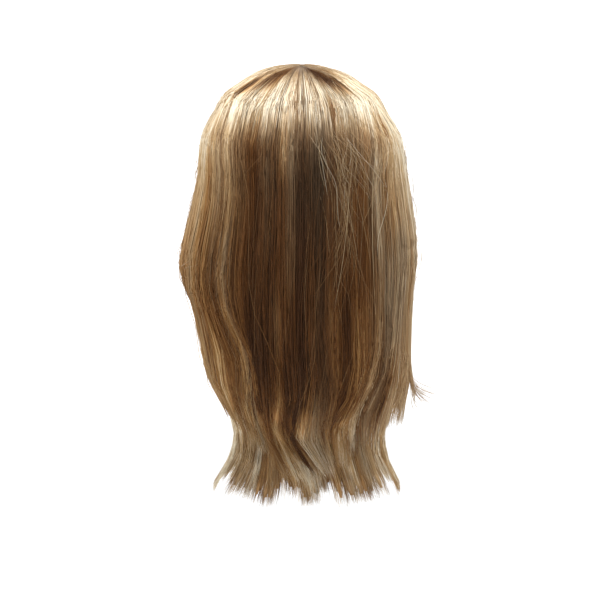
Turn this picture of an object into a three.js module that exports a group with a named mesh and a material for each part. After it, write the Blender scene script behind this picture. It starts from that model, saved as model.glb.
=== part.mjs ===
// A long straight wig as it hangs on a head: a net cap with an edge band, a fringe sewn along its front,
// two rows of hair round its back and sides, and the crown hair that falls over them all from one whorl.
// Millimetres, +Z up. The wearer faces -Y and their left is +X. The origin is the inside of the cap's top,
// where the crown of the head meets it.
//
// A place in the hair has an azimuth, in degrees from the back (+Y) towards the wearer's left (+X), and a
// level: 0 at the whorl, 1 at the head's widest height and 2 at the longest tips.

import * as THREE from 'three';

// Driving dimensions of the head that the cap fits
const HEAD_HALF_WIDTH = 77.5;
const HEAD_HALF_DEPTH = 97;
const CROWN_TO_WIDEST = 95;
const WIDEST_TO_JAW = 170; // the lower half of the head form narrows over this height
const WHORL_SETBACK = 12; // the whorl lies this far behind the middle of the head

// Driving dimensions of the cap
const CAP_WALL = 2;
const BAND_WALL = 2;
const BAND_HEIGHT = 8;
const BAND_GAP = 0.3;

// Driving dimensions of the hair
const WIDEST_TO_TIPS = 297;
const SEAT_GAP = 0.4; // between the cap and what is sewn on it
const LAYER_GAP = 1.4; // between one layer of hair and the next
const CROWN_HAIR_THICKNESS = 8;
const UPPER_ROW_THICKNESS = 8;
const LOWER_ROW_THICKNESS = 8;
const FRINGE_THICKNESS = 4;
const TIP_THICKNESS = 1.2;
const TIP_TAPER = 52; // a lock thins to its tip over this length
const NOTCH_DEPTH = 22; // how far the gap between two tips runs up
const SWEEP_LENGTH = 120; // a lock swings aside over this length above its tip

// The lock's cross-section: where its columns stand, how full they are below the crown, which is smooth, and
// how much shorter than its tip
const LOCK_SECTION = [
	{ across: 0, fullness: 0.5, shorter: 1 },
	{ across: 0.34, fullness: 1, shorter: 0 },
	{ across: 0.7, fullness: 0.92, shorter: 0.35 },
];

// Levels at which every layer has a ring of points, so that neighbouring layers stay parallel
const LEVELS = [ 0, 0.12, 0.26, 0.4, 0.55, 0.7, 0.85, 1, 1.12, 1.24, 1.36, 1.48, 1.6, 1.72, 1.82, 1.91, 2 ];
const NEAR_LEVEL = 0.02;

// The hollow inside the hair below the head's widest height, as shares of the head's half sizes
const HOLLOW = [
	{ level: 1, left: 1, right: 1, back: 1, front: 1 },
	{ level: 1.15, left: 1, right: 1, back: 0.985, front: 0.97 },
	{ level: 1.26, left: 1.03, right: 1, back: 0.95, front: 0.93 },
	{ level: 1.4, left: 0.99, right: 0.98, back: 0.92, front: 0.9 },
	{ level: 1.5, left: 0.94, right: 0.975, back: 0.89, front: 0.88 },
	{ level: 1.6, left: 0.94, right: 0.97, back: 0.86, front: 0.87 },
	{ level: 1.72, left: 0.83, right: 0.96, back: 0.81, front: 0.85 },
	{ level: 1.78, left: 0.73, right: 0.93, back: 0.75, front: 0.81 },
	{ level: 1.85, left: 0.69, right: 0.89, back: 0.7, front: 0.77 },
	{ level: 1.92, left: 0.82, right: 1, back: 0.73, front: 0.8 },
	{ level: 2, left: 1.04, right: 1.18, back: 0.8, front: 0.88 },
];

// Thickness of each layer down its length, as shares of its named thickness
const CROWN_HAIR_FULLNESS = [
	{ level: 0, left: 1.2, right: 1.2, back: 1.2, front: 1.2 },
	{ level: 0.26, left: 1.55, right: 1.4, back: 1.5, front: 1.5 },
	{ level: 0.55, left: 1.6, right: 1.45, back: 1.6, front: 1.5 },
	{ level: 0.7, left: 1.4, right: 1.3, back: 1.4, front: 1.3 },
	{ level: 0.85, left: 1.1, right: 1.2, back: 1.25, front: 1 },
	{ level: 1, left: 0.85, right: 1.2, back: 0.85, front: 0.8 },
	{ level: 1.12, left: 1.5, right: 1.7, back: 1, front: 1 },
	{ level: 1.26, left: 2.1, right: 1.8, back: 1.2, front: 1.3 },
	{ level: 1.36, left: 2, right: 1.3, back: 1.2, front: 1.3 },
	{ level: 1.48, left: 1, right: 1, back: 1.15, front: 1 },
	{ level: 1.72, left: 1, right: 1, back: 1.1, front: 1 },
	{ level: 2, left: 0.6, right: 0.6, back: 0.6, front: 0.6 },
];
const UPPER_ROW_FULLNESS = [
	{ level: 0.7, left: 0.35, right: 0.35, back: 0.35, front: 0.35 },
	{ level: 1, left: 0.5, right: 0.5, back: 0.5, front: 0.5 },
	{ level: 1.24, left: 0.8, right: 0.8, back: 0.8, front: 0.8 },
	{ level: 1.5, left: 1, right: 1, back: 1, front: 0.9 },
	{ level: 1.72, left: 1, right: 1, back: 1, front: 0.9 },
	{ level: 2, left: 0.5, right: 0.5, back: 0.6, front: 0.5 },
];
const LOWER_ROW_FULLNESS = [
	{ level: 1, left: 0.45, right: 0.45, back: 0.45, front: 0.45 },
	{ level: 1.24, left: 0.75, right: 0.75, back: 0.75, front: 0.7 },
	{ level: 1.5, left: 1, right: 1, back: 1, front: 0.9 },
	{ level: 1.82, left: 1, right: 1, back: 1, front: 0.9 },
	{ level: 2, left: 0.5, right: 0.5, back: 0.5, front: 0.5 },
];
const FRINGE_FULLNESS = [
	{ level: 0.6, left: 0.6, right: 0.6, back: 0.6, front: 0.6 },
	{ level: 1.1, left: 1, right: 1, back: 1, front: 1 },
];

// Where the cap ends, as shares of the crown's height above the head's widest level: hairline, temple,
// ear tab, over the ear, behind it and nape
const CAP_EDGE = [
	{ azimuth: 0, drop: 1.56 },
	{ azimuth: 35, drop: 1.48 },
	{ azimuth: 60, drop: 1.27 },
	{ azimuth: 80, drop: 1.04 },
	{ azimuth: 100, drop: 1.12 },
	{ azimuth: 112, drop: 1.2 },
	{ azimuth: 125, drop: 1.02 },
	{ azimuth: 140, drop: 0.84 },
	{ azimuth: 160, drop: 0.68 },
	{ azimuth: 180, drop: 0.63 },
];
const CAP_COLUMNS = 36;

// Locks in order of azimuth: how wide each is, the level of its tip, how far it swings aside and how far
// its tip stands out, as a share of the layer's thickness
const CROWN_HAIR_START_ANGLE = - 180;
const CROWN_HAIR_LOCKS = [
	{ width: 14, tip: 1.04, sweep: 0, lift: 0 },
	{ width: 14, tip: 1, sweep: 0, lift: 0 },
	{ width: 14, tip: 1.07, sweep: 2, lift: 0 },
	{ width: 12, tip: 1.4, sweep: 3, lift: 0.3 },
	{ width: 14, tip: 1.54, sweep: 2, lift: 0.4 },
	{ width: 14, tip: 1.64, sweep: 0, lift: 0.3 },
	{ width: 14, tip: 1.73, sweep: - 2, lift: 2 },
	{ width: 14, tip: 1.82, sweep: 2, lift: 0.2 },
	{ width: 16, tip: 1.8, sweep: 5, lift: 0 },
	{ width: 16, tip: 1.86, sweep: 8, lift: 0 },
	{ width: 14, tip: 1.92, sweep: 6, lift: 0.2 },
	{ width: 14, tip: 1.87, sweep: - 4, lift: 0 },
	{ width: 14, tip: 1.93, sweep: - 8, lift: 0.2 },
	{ width: 14, tip: 1.88, sweep: - 10, lift: 0 },
	{ width: 14, tip: 1.94, sweep: - 12, lift: 0.2 },
	{ width: 14, tip: 1.85, sweep: - 11, lift: 0 },
	{ width: 14, tip: 1.78, sweep: - 8, lift: 0 },
	{ width: 12, tip: 1.68, sweep: - 4, lift: 0 },
	{ width: 14, tip: 1.53, sweep: - 3, lift: 0 },
	{ width: 14, tip: 1.49, sweep: - 2, lift: 0 },
	{ width: 14, tip: 1.47, sweep: 0, lift: 0.1 },
	{ width: 12, tip: 1.48, sweep: 1, lift: 0.2 },
	{ width: 12, tip: 1.38, sweep: - 3, lift: 0.3 },
	{ width: 14, tip: 1.06, sweep: - 2, lift: 0 },
	{ width: 14, tip: 1.01, sweep: 0, lift: 0 },
	{ width: 14, tip: 1.06, sweep: 0, lift: 0 },
];

const ROW_HALF_ANGLE = 124; // the two rows run from one temple round the back to the other
const UPPER_ROOT_LEVEL = 0.7;
const UPPER_ROW_LOCKS = [
	{ width: 14, tip: 1.76, sweep: 2, lift: 0 },
	{ width: 16, tip: 1.78, sweep: 2, lift: 0 },
	{ width: 14, tip: 1.83, sweep: 3, lift: 0 },
	{ width: 14, tip: 1.84, sweep: 4, lift: 0 },
	{ width: 16, tip: 1.8, sweep: 6, lift: 0 },
	{ width: 16, tip: 1.87, sweep: 6, lift: 0 },
	{ width: 16, tip: 1.93, sweep: 2, lift: 0 },
	{ width: 18, tip: 1.89, sweep: - 3, lift: 0 },
	{ width: 16, tip: 1.95, sweep: - 7, lift: 0 },
	{ width: 16, tip: 1.9, sweep: - 9, lift: 0 },
	{ width: 16, tip: 1.86, sweep: - 9, lift: 0 },
	{ width: 16, tip: 1.8, sweep: - 6, lift: 0 },
	{ width: 14, tip: 1.77, sweep: - 4, lift: 0 },
	{ width: 16, tip: 1.78, sweep: - 3, lift: 0 },
	{ width: 16, tip: 1.77, sweep: - 2, lift: 0 },
	{ width: 14, tip: 1.74, sweep: - 2, lift: 0 },
];

const LOWER_ROOT_LEVEL = 0.94;
const LOWER_ROW_LOCKS = [
	{ width: 14, tip: 1.9, sweep: - 2, lift: 0 },
	{ width: 18, tip: 1.97, sweep: - 3, lift: 0 },
	{ width: 16, tip: 2, sweep: - 4, lift: 0 },
	{ width: 18, tip: 1.95, sweep: - 4, lift: 0 },
	{ width: 16, tip: 1.99, sweep: - 2, lift: 0 },
	{ width: 18, tip: 2, sweep: 2, lift: 0 },
	{ width: 16, tip: 1.96, sweep: 4, lift: 0 },
	{ width: 16, tip: 2, sweep: - 2, lift: 0 },
	{ width: 18, tip: 1.97, sweep: - 6, lift: 0 },
	{ width: 16, tip: 2, sweep: - 6, lift: 0 },
	{ width: 18, tip: 1.98, sweep: - 2, lift: 0 },
	{ width: 16, tip: 1.95, sweep: 3, lift: 0 },
	{ width: 18, tip: 2, sweep: 5, lift: 0 },
	{ width: 16, tip: 1.96, sweep: 4, lift: 0 },
	{ width: 14, tip: 1.9, sweep: 3, lift: 0 },
];

const FRINGE_HALF_ANGLE = 38; // either side of the front
const FRINGE_ROOT_LEVEL = 0.6;
const FRINGE_LOCKS = [
	{ width: 12, tip: 1.02, sweep: 0, lift: 0 },
	{ width: 14, tip: 0.99, sweep: 0, lift: 0 },
	{ width: 12, tip: 1.03, sweep: 0, lift: 0 },
	{ width: 12, tip: 1, sweep: 0, lift: 0 },
	{ width: 14, tip: 1.03, sweep: 0, lift: 0 },
	{ width: 12, tip: 0.99, sweep: 0, lift: 0 },
];

// A layer makes room for one beneath it from this far before that one's edge, and more gently before that
const LEAD_ANGLE = 5;
const FADE_ANGLE = 10;
const LEAD_LEVELS = 0.15;
const FADE_LEVELS = 0.15;

const SEAT = Math.max( CAP_WALL, BAND_WALL ) + SEAT_GAP;
const QUARTER_TURN = Math.PI / 2;

const smooth = ( t ) => {

	const c = THREE.MathUtils.clamp( t, 0, 1 );
	return c * c * ( 3 - 2 * c );

};

// A smooth curve through a table's column at the place x of another column
function along( table, key, x, column ) {

	const last = table.length - 1;
	if ( x <= table[ 0 ][ key ] ) return table[ 0 ][ column ];
	if ( x >= table[ last ][ key ] ) return table[ last ][ column ];
	const i = table.findIndex( ( row ) => row[ key ] > x ) - 1;
	const slope = ( n ) => {

		const before = table[ Math.max( n - 1, 0 ) ];
		const after = table[ Math.min( n + 1, last ) ];
		return ( after[ column ] - before[ column ] ) / ( after[ key ] - before[ key ] );

	};

	const span = table[ i + 1 ][ key ] - table[ i ][ key ];
	const t = ( x - table[ i ][ key ] ) / span;
	const rise = smooth( t );
	const leave = t * ( 1 - t ) * ( 1 - t ) * span * slope( i );
	const arrive = t * t * ( t - 1 ) * span * slope( i + 1 );
	return table[ i ][ column ] * ( 1 - rise ) + table[ i + 1 ][ column ] * rise + leave + arrive;

}

// A table's value at an azimuth: an ellipse's quarter between its left or right and its back or front
function around( table, level, azimuth ) {

	const turn = THREE.MathUtils.degToRad( azimuth );
	const side = along( table, 'level', level, Math.sin( turn ) >= 0 ? 'left' : 'right' );
	const end = along( table, 'level', level, Math.cos( turn ) >= 0 ? 'back' : 'front' );
	return side * Math.sin( turn ) ** 2 + end * Math.cos( turn ) ** 2;

}

// The direction out of the head at an azimuth and level
function outward( azimuth, level ) {

	const turn = THREE.MathUtils.degToRad( azimuth );
	const polar = Math.min( level, 1 ) * QUARTER_TURN;
	const spread = Math.sin( polar );
	return new THREE.Vector3( spread * Math.sin( turn ), spread * Math.cos( turn ), Math.cos( polar ) );

}

// The point at an azimuth and level on a form that has these shares of the head's half sizes
function place( azimuth, level, sideShare, endShare ) {

	const { x, y, z } = outward( azimuth, level );
	const setback = WHORL_SETBACK * Math.hypot( x, y );
	const hang = Math.max( level - 1, 0 ) * WIDEST_TO_TIPS;
	return new THREE.Vector3(
		HEAD_HALF_WIDTH * sideShare * x,
		HEAD_HALF_DEPTH * endShare * y - setback,
		CROWN_TO_WIDEST * ( z - 1 ) - hang,
	);

}

function headPlace( azimuth, level ) {

	const below = Math.max( level - 1, 0 ) * WIDEST_TO_TIPS;
	const share = Math.sqrt( Math.max( 1 - ( below / WIDEST_TO_JAW ) ** 2, 0 ) );
	return place( azimuth, level, share, share );

}

function hairPlace( azimuth, level ) {

	const turn = THREE.MathUtils.degToRad( azimuth );
	const side = along( HOLLOW, 'level', level, Math.sin( turn ) >= 0 ? 'left' : 'right' );
	const end = along( HOLLOW, 'level', level, Math.cos( turn ) >= 0 ? 'back' : 'front' );
	return place( azimuth, level, side, end );

}

// A face lifted off a form. It runs straight from each level to the next, so that a layer that begins or
// ends between two levels still lies flat on the layer beneath.
function liftedPlace( form, lift, azimuth, level ) {

	const last = LEVELS.length - 1;
	const above = Math.min( LEVELS.filter( ( each ) => each <= level ).length, last ) - 1;
	const [ start, end ] = [ LEVELS[ above ], LEVELS[ above + 1 ] ].map( ( each ) =>
		form( azimuth, each ).addScaledVector( outward( azimuth, each ), lift( azimuth, each ) ) );
	return start.lerp( end, ( level - LEVELS[ above ] ) / ( LEVELS[ above + 1 ] - LEVELS[ above ] ) );

}

// The level at which the head form has dropped so far below the crown
function levelAtDrop( drop ) {

	if ( drop > CROWN_TO_WIDEST ) return 1 + ( drop - CROWN_TO_WIDEST ) / WIDEST_TO_TIPS;
	return Math.acos( 1 - drop / CROWN_TO_WIDEST ) / QUARTER_TURN;

}

// The level a distance further down
function levelBelow( level, distance ) {

	const perLevel = level < 1 ? QUARTER_TURN * CROWN_TO_WIDEST : WIDEST_TO_TIPS;
	return level + distance / perLevel;

}

// How much the layers over a layer make room for it, from 0 well away from it to 1 where it lies
const room = ( distance, lead, fade ) => smooth( ( distance + lead ) / fade + 1 );
const rowShare = ( root ) => ( azimuth, level ) => room( level - root, LEAD_LEVELS, FADE_LEVELS )
	* room( ROW_HALF_ANGLE - Math.abs( azimuth ), LEAD_ANGLE, FADE_ANGLE );
const fringeShare = ( azimuth, level ) => room( level - FRINGE_ROOT_LEVEL, LEAD_LEVELS, FADE_LEVELS )
	* room( Math.abs( azimuth ) - 180 + FRINGE_HALF_ANGLE, LEAD_ANGLE, FADE_ANGLE );

const thicknessOf = ( table, thickness ) => ( azimuth, level ) => thickness * around( table, level, azimuth );
const crownThickness = thicknessOf( CROWN_HAIR_FULLNESS, CROWN_HAIR_THICKNESS );
const upperThickness = thicknessOf( UPPER_ROW_FULLNESS, UPPER_ROW_THICKNESS );
const lowerThickness = thicknessOf( LOWER_ROW_FULLNESS, LOWER_ROW_THICKNESS );
const fringeThickness = thicknessOf( FRINGE_FULLNESS, FRINGE_THICKNESS );

// How far each layer's inner face lies outside the hollow: each one lies on those beneath it
const lowerLift = () => SEAT;
const upperLift = ( azimuth, level ) => SEAT
	+ rowShare( LOWER_ROOT_LEVEL )( azimuth, level ) * ( lowerThickness( azimuth, level ) + LAYER_GAP );
const fringeLift = () => SEAT;
const crownLift = ( azimuth, level ) => upperLift( azimuth, level )
	+ rowShare( UPPER_ROOT_LEVEL )( azimuth, level ) * ( upperThickness( azimuth, level ) + LAYER_GAP )
	+ fringeShare( azimuth, level ) * ( fringeThickness( azimuth, level ) + LAYER_GAP );

// A layer's columns of points, a few to each lock, which share its span in proportion to their widths.
// Between two locks lies a groove that ends in a notch.
function lockColumns( locks, start, span, root ) {

	const ring = span === 360;
	const notch = NOTCH_DEPTH / WIDEST_TO_TIPS;
	const degrees = span / locks.reduce( ( sum, { width } ) => sum + width, 0 );
	const columns = [];
	let azimuth = start;
	locks.forEach( ( lock, n ) => {

		const before = locks[ n - 1 ] ?? ( ring ? locks[ locks.length - 1 ] : lock );
		for ( const { across, fullness, shorter } of LOCK_SECTION ) {

			const between = across === 0;
			const tip = between ? Math.min( lock.tip, before.tip ) : lock.tip;
			columns.push( {
				azimuth: azimuth + across * lock.width * degrees,
				root,
				tip: tip - notch * shorter,
				sweep: between ? ( lock.sweep + before.sweep ) / 2 : lock.sweep,
				lift: between ? Math.min( lock.lift, before.lift ) : lock.lift,
				fullness,
			} );

		}

		azimuth += lock.width * degrees;

	} );

	if ( ! ring ) {

		const lock = locks[ locks.length - 1 ];
		const { fullness } = LOCK_SECTION[ 0 ];
		columns.push( { azimuth, root, tip: lock.tip - notch, sweep: lock.sweep, lift: lock.lift, fullness } );

	}

	return columns;

}

// A wall with an inner and an outer face on a grid of columns and levels. A column ends at its own tip, and
// the levels past it fold into that one point. A ring of columns with its root at level 0 closes in a dome.
function wallGeometry( columns, ring, inner, outer ) {

	const points = [];
	const rows = columns.map( ( column ) => {

		const between = LEVELS.filter( ( level ) => level > column.root + NEAR_LEVEL && level < column.tip - NEAR_LEVEL );
		const levels = [ column.root, ...between, column.tip ];
		const domed = column.root === 0;
		const faces = [ inner, outer ].map( ( face, side ) => levels.map( ( level, n ) => {

			if ( domed && n === 0 ) return side;
			points.push( face( column, level ) );
			return points.length + 1;

		} ) );
		const at = LEVELS.map( ( level ) => {

			if ( level <= column.root + NEAR_LEVEL ) return 0;
			if ( level >= column.tip - NEAR_LEVEL ) return levels.length - 1;
			return levels.indexOf( level );

		} );
		return { faces, at };

	} );
	const first = columns[ 0 ];
	points.unshift( inner( first, first.root ), outer( first, first.root ) );

	const index = [];
	const triangle = ( a, b, c ) => {

		if ( a !== b && b !== c && c !== a ) index.push( a, b, c );

	};

	const quad = ( a, b, c, d ) => {

		triangle( a, b, c );
		triangle( a, c, d );

	};

	const last = LEVELS.length - 1;
	const spans = ring ? columns.length : columns.length - 1;
	for ( let n = 0; n < spans; n ++ ) {

		const here = rows[ n ];
		const next = rows[ ( n + 1 ) % columns.length ];
		const point = ( row, side, level ) => row.faces[ side ][ row.at[ level ] ];
		for ( let level = 0; level < last; level ++ ) {

			quad( point( here, 0, level ), point( here, 0, level + 1 ), point( next, 0, level + 1 ), point( next, 0, level ) );
			quad( point( here, 1, level ), point( next, 1, level ), point( next, 1, level + 1 ), point( here, 1, level + 1 ) );

		}

		quad( point( here, 0, last ), point( here, 1, last ), point( next, 1, last ), point( next, 0, last ) );
		if ( first.root > 0 )
			quad( point( here, 0, 0 ), point( next, 0, 0 ), point( next, 1, 0 ), point( here, 1, 0 ) );

	}

	if ( ! ring ) {

		const sideWall = ( { faces: [ inside, outside ] }, turned ) => {

			for ( let n = 0; n < inside.length - 1; n ++ ) {

				if ( turned ) quad( inside[ n ], inside[ n + 1 ], outside[ n + 1 ], outside[ n ] );
				else quad( inside[ n ], outside[ n ], outside[ n + 1 ], inside[ n + 1 ] );

			}

		};

		sideWall( rows[ 0 ], false );
		sideWall( rows[ columns.length - 1 ], true );

	}

	// The first two points are the dome's own, which only a domed wall uses
	const kept = first.root === 0 ? 0 : 2;
	const geometry = new THREE.BufferGeometry().setFromPoints( points.slice( kept ) );
	geometry.setIndex( index.map( ( n ) => n - kept ) );
	geometry.computeVertexNormals();
	return geometry;

}

// A layer of hair from its locks, lying this far outside the hollow and this thick
function hairGeometry( columns, ring, layerLift, thickness ) {

	const tipTaper = TIP_TAPER / WIDEST_TO_TIPS;
	const sweepLevels = SWEEP_LENGTH / WIDEST_TO_TIPS;
	const face = ( outside ) => ( column, level ) => {

		const swung = smooth( ( level - column.tip ) / sweepLevels + 1 );
		const azimuth = column.azimuth + column.sweep * swung;
		const full = thickness( azimuth, level );
		const reach = smooth( ( column.tip - level ) / tipTaper );
		const stand = full * column.lift * ( 1 - reach ) ** 2;
		const body = full * THREE.MathUtils.lerp( 1, column.fullness, smooth( level ) );
		const wall = outside ? Math.max( body * reach, TIP_THICKNESS ) : 0;
		const seat = liftedPlace( hairPlace, layerLift, azimuth, level );
		return seat.addScaledVector( outward( azimuth, level ), stand + wall );

	};

	return wallGeometry( columns, ring, face( false ), face( true ) );

}

// The cap's columns, from the level that start gives to the one that end gives
function capColumns( start, end ) {

	return Array.from( { length: CAP_COLUMNS }, ( _, n ) => {

		const azimuth = n * 360 / CAP_COLUMNS - 180;
		const drop = along( CAP_EDGE, 'azimuth', Math.abs( azimuth ), 'drop' ) * CROWN_TO_WIDEST;
		const edge = levelAtDrop( drop );
		return { azimuth, root: start( edge ), tip: end( edge ) };

	} );

}

function headWall( columns, wall ) {

	const face = ( offset ) => ( column, level ) => liftedPlace( headPlace, () => offset, column.azimuth, level );
	return wallGeometry( columns, true, face( 0 ), face( wall ) );

}

const strawBlond = new THREE.MeshStandardMaterial( { color: 0xb08d5f, roughness: 0.45, metalness: 0 } );
const goldenBlond = new THREE.MeshStandardMaterial( { color: 0xc9a46c, roughness: 0.4, metalness: 0 } );
const darkBlond = new THREE.MeshStandardMaterial( { color: 0x8a6540, roughness: 0.5, metalness: 0 } );
const beigeNet = new THREE.MeshStandardMaterial( { color: 0x9c7b58, roughness: 0.9, metalness: 0 } );
const tanElastic = new THREE.MeshStandardMaterial( { color: 0x7d6044, roughness: 0.8, metalness: 0 } );

const wig = new THREE.Group();
wig.name = 'long_straight_wig';

function add( name, geometry, material ) {

	const mesh = new THREE.Mesh( geometry, material );
	mesh.name = name;
	wig.add( mesh );

}

const cap = headWall( capColumns( () => 0, ( edge ) => edge ), CAP_WALL );
const bandTop = ( edge ) => levelBelow( edge, BAND_GAP );
const bandFoot = ( edge ) => levelBelow( edge, BAND_GAP + BAND_HEIGHT );
const band = headWall( capColumns( bandTop, bandFoot ), BAND_WALL );
const fringeColumns = lockColumns( FRINGE_LOCKS, 180 - FRINGE_HALF_ANGLE, 2 * FRINGE_HALF_ANGLE, FRINGE_ROOT_LEVEL );
const lowerColumns = lockColumns( LOWER_ROW_LOCKS, - ROW_HALF_ANGLE, 2 * ROW_HALF_ANGLE, LOWER_ROOT_LEVEL );
const upperColumns = lockColumns( UPPER_ROW_LOCKS, - ROW_HALF_ANGLE, 2 * ROW_HALF_ANGLE, UPPER_ROOT_LEVEL );
const crownColumns = lockColumns( CROWN_HAIR_LOCKS, CROWN_HAIR_START_ANGLE, 360, 0 );

add( 'cap', cap, beigeNet );
add( 'edge_band', band, tanElastic );
add( 'fringe', hairGeometry( fringeColumns, false, fringeLift, fringeThickness ), strawBlond );
add( 'lower_row', hairGeometry( lowerColumns, false, lowerLift, lowerThickness ), goldenBlond );
add( 'upper_row', hairGeometry( upperColumns, false, upperLift, upperThickness ), strawBlond );
add( 'crown_hair', hairGeometry( crownColumns, true, crownLift, crownThickness ), darkBlond );

export default wig;
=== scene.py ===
# %% [markdown]
# # A long straight wig, seen from behind
#
# The wig hangs as on a head: a net cap inside, an elastic band round the cap's edge, and hair in four
# layers. A fringe is sewn along the front, two long rows go round the sides and back, and the crown hair
# falls from one whorl over them all. The solids of the CAD part say where each layer lies. This script
# gives each its locks, thousands of fine strands and their colours.

# %% Load the frame
import bmesh
import bpy
import numpy as np
from mathutils import Matrix, Vector


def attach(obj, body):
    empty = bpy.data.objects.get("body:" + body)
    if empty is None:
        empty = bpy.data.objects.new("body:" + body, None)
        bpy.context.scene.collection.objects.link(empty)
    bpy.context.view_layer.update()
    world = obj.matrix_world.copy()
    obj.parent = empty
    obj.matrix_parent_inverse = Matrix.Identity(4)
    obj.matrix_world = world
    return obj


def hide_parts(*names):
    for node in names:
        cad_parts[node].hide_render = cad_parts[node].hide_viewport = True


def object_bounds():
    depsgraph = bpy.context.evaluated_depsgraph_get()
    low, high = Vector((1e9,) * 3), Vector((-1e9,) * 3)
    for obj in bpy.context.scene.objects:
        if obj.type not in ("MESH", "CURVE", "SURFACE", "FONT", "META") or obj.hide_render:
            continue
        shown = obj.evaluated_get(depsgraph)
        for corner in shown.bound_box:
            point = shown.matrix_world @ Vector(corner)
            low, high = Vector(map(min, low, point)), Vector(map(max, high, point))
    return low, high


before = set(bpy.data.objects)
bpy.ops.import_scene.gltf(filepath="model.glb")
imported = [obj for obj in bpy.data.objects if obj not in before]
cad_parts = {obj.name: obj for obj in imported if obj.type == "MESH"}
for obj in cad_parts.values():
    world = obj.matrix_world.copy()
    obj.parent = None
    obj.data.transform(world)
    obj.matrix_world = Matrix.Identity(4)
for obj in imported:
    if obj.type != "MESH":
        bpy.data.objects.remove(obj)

part_low, part_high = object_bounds()
print("the part's box, mm:", [round(1000 * (h - l)) for l, h in zip(part_low, part_high)])

# %% [markdown]
# ## Camera
#
# The photograph looks at the back of the wig from a little above it. A long lens from further off keeps the
# hair's width true from crown to tips. The camera looks along -Y and slightly down.

# %% Camera
CAMERA_RISE = np.radians(9)
CAMERA_DISTANCE = 3.5
PHOTO_WIDTH = 0.57  # metres across the picture, at the wig
LOOK_AT = Vector((0.001, -0.012, -0.2149))

camera = bpy.data.objects.new("camera", bpy.data.cameras.new("camera"))
bpy.context.collection.objects.link(camera)
back = Vector((0, np.cos(CAMERA_RISE), np.sin(CAMERA_RISE)))
camera.location = LOOK_AT + back * CAMERA_DISTANCE
camera.rotation_euler = back.to_track_quat("Z", "Y").to_euler()
camera.data.lens = camera.data.sensor_width * CAMERA_DISTANCE / PHOTO_WIDTH
bpy.context.scene.camera = camera
print("lens, mm:", round(camera.data.lens))

# %% [markdown]
# ## Light
#
# In the photograph one strong light stands high over the wig, so the crown gleams in an arch and the back
# below it stays dark. Here a soft lamp hangs overhead, two weak ones stand beyond the wig and edge its sides
# with light, and a wide one makes the wall behind it white. The white world is the light that a studio's
# walls throw back.

# %% World and lamps
scene = bpy.context.scene
scene.view_settings.view_transform = "Standard"
world = bpy.data.worlds.new("studio")
world.use_nodes = True
world.node_tree.nodes["Background"].inputs["Color"].default_value = (1, 1, 1, 1)
world.node_tree.nodes["Background"].inputs["Strength"].default_value = 0.8
scene.world = world


def soft_lamp(name, place, size, watts, faces=LOOK_AT):
    """A square lamp that faces a point, the middle of the wig unless another is given."""
    data = bpy.data.lights.new(name, "AREA")
    data.size, data.energy = size, watts
    lamp = bpy.data.objects.new(name, data)
    lamp.location = place
    lamp.rotation_euler = (Vector(place) - Vector(faces)).to_track_quat("Z", "Y").to_euler()
    bpy.context.collection.objects.link(lamp)


soft_lamp("overhead", (0, 0.2, 0.9), 0.8, 15)
soft_lamp("behind_left", (1.5, -0.8, 0.3), 0.9, 6)
soft_lamp("behind_right", (-1.5, -0.8, 0.3), 0.9, 6)
soft_lamp("on_the_wall", (0, -3.2, 2.2), 3.0, 110, faces=(0, -5.5, 0.6))
print("lamps:", [each.name for each in bpy.data.lights])

# %% [markdown]
# ## Floor
#
# A photographer's paper backdrop runs along the floor and up the wall in one curve, so that no line shows
# behind the object. Here it is an edge, extruded along the floor, spun through a quarter turn, and extruded
# again up the wall.

# %% Floor and wall
FLOOR_DROP = 0.3  # the floor lies this far below the tips
FLOOR_REACH = 8
WALL_STARTS = 4.5  # the floor bends up into the wall this far beyond the wig
COVE_RADIUS = 1.0


def of_kind(geometry, kind):
    """Only the vertices, or only the edges, of what a bmesh operator gives back."""
    return [item for item in geometry if isinstance(item, kind)]


def new_material(name, roughness):
    """A material, its nodes and links, and its shader."""
    material = bpy.data.materials.new(name)
    material.use_nodes = True
    shader = material.node_tree.nodes["Principled BSDF"]
    shader.inputs["Roughness"].default_value = roughness
    return material, material.node_tree.nodes, material.node_tree.links, shader


def finished(name, shape, material):
    """A bmesh as a mesh, smooth and with its material."""
    mesh = bpy.data.meshes.new(name)
    shape.to_mesh(mesh)
    shape.free()
    mesh.shade_smooth()
    mesh.materials.append(material)
    return mesh


cove = bmesh.new()
near_left = cove.verts.new((-FLOOR_REACH, FLOOR_REACH, 0))
near_right = cove.verts.new((FLOOR_REACH, FLOOR_REACH, 0))
edge = cove.edges.new((near_left, near_right))
run = bmesh.ops.extrude_edge_only(cove, edges=[edge])["geom"]
far = of_kind(run, bmesh.types.BMVert)
bmesh.ops.translate(cove, verts=far, vec=(0, -FLOOR_REACH - WALL_STARTS, 0))
far_edge = [e for e in of_kind(run, bmesh.types.BMEdge) if all(v in far for v in e.verts)]
bend = bmesh.ops.spin(cove, geom=far + far_edge, cent=(0, -WALL_STARTS, COVE_RADIUS), axis=(1, 0, 0),
                      angle=-np.pi / 2, steps=12, space=Matrix())["geom_last"]
rise = bmesh.ops.extrude_edge_only(cove, edges=of_kind(bend, bmesh.types.BMEdge))["geom"]
bmesh.ops.translate(cove, verts=of_kind(rise, bmesh.types.BMVert), vec=(0, 0, FLOOR_REACH))
bmesh.ops.translate(cove, verts=cove.verts, vec=(0, 0, part_low.z - FLOOR_DROP))

paper, *_, shader = new_material("pale_paper", 0.9)
shader.inputs["Base Color"].default_value = (0.9, 0.9, 0.9, 1)
floor = bpy.data.objects.new("floor", finished("floor", cove, paper))
bpy.context.collection.objects.link(floor)
print("floor and wall:", len(floor.data.polygons), "faces")

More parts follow.
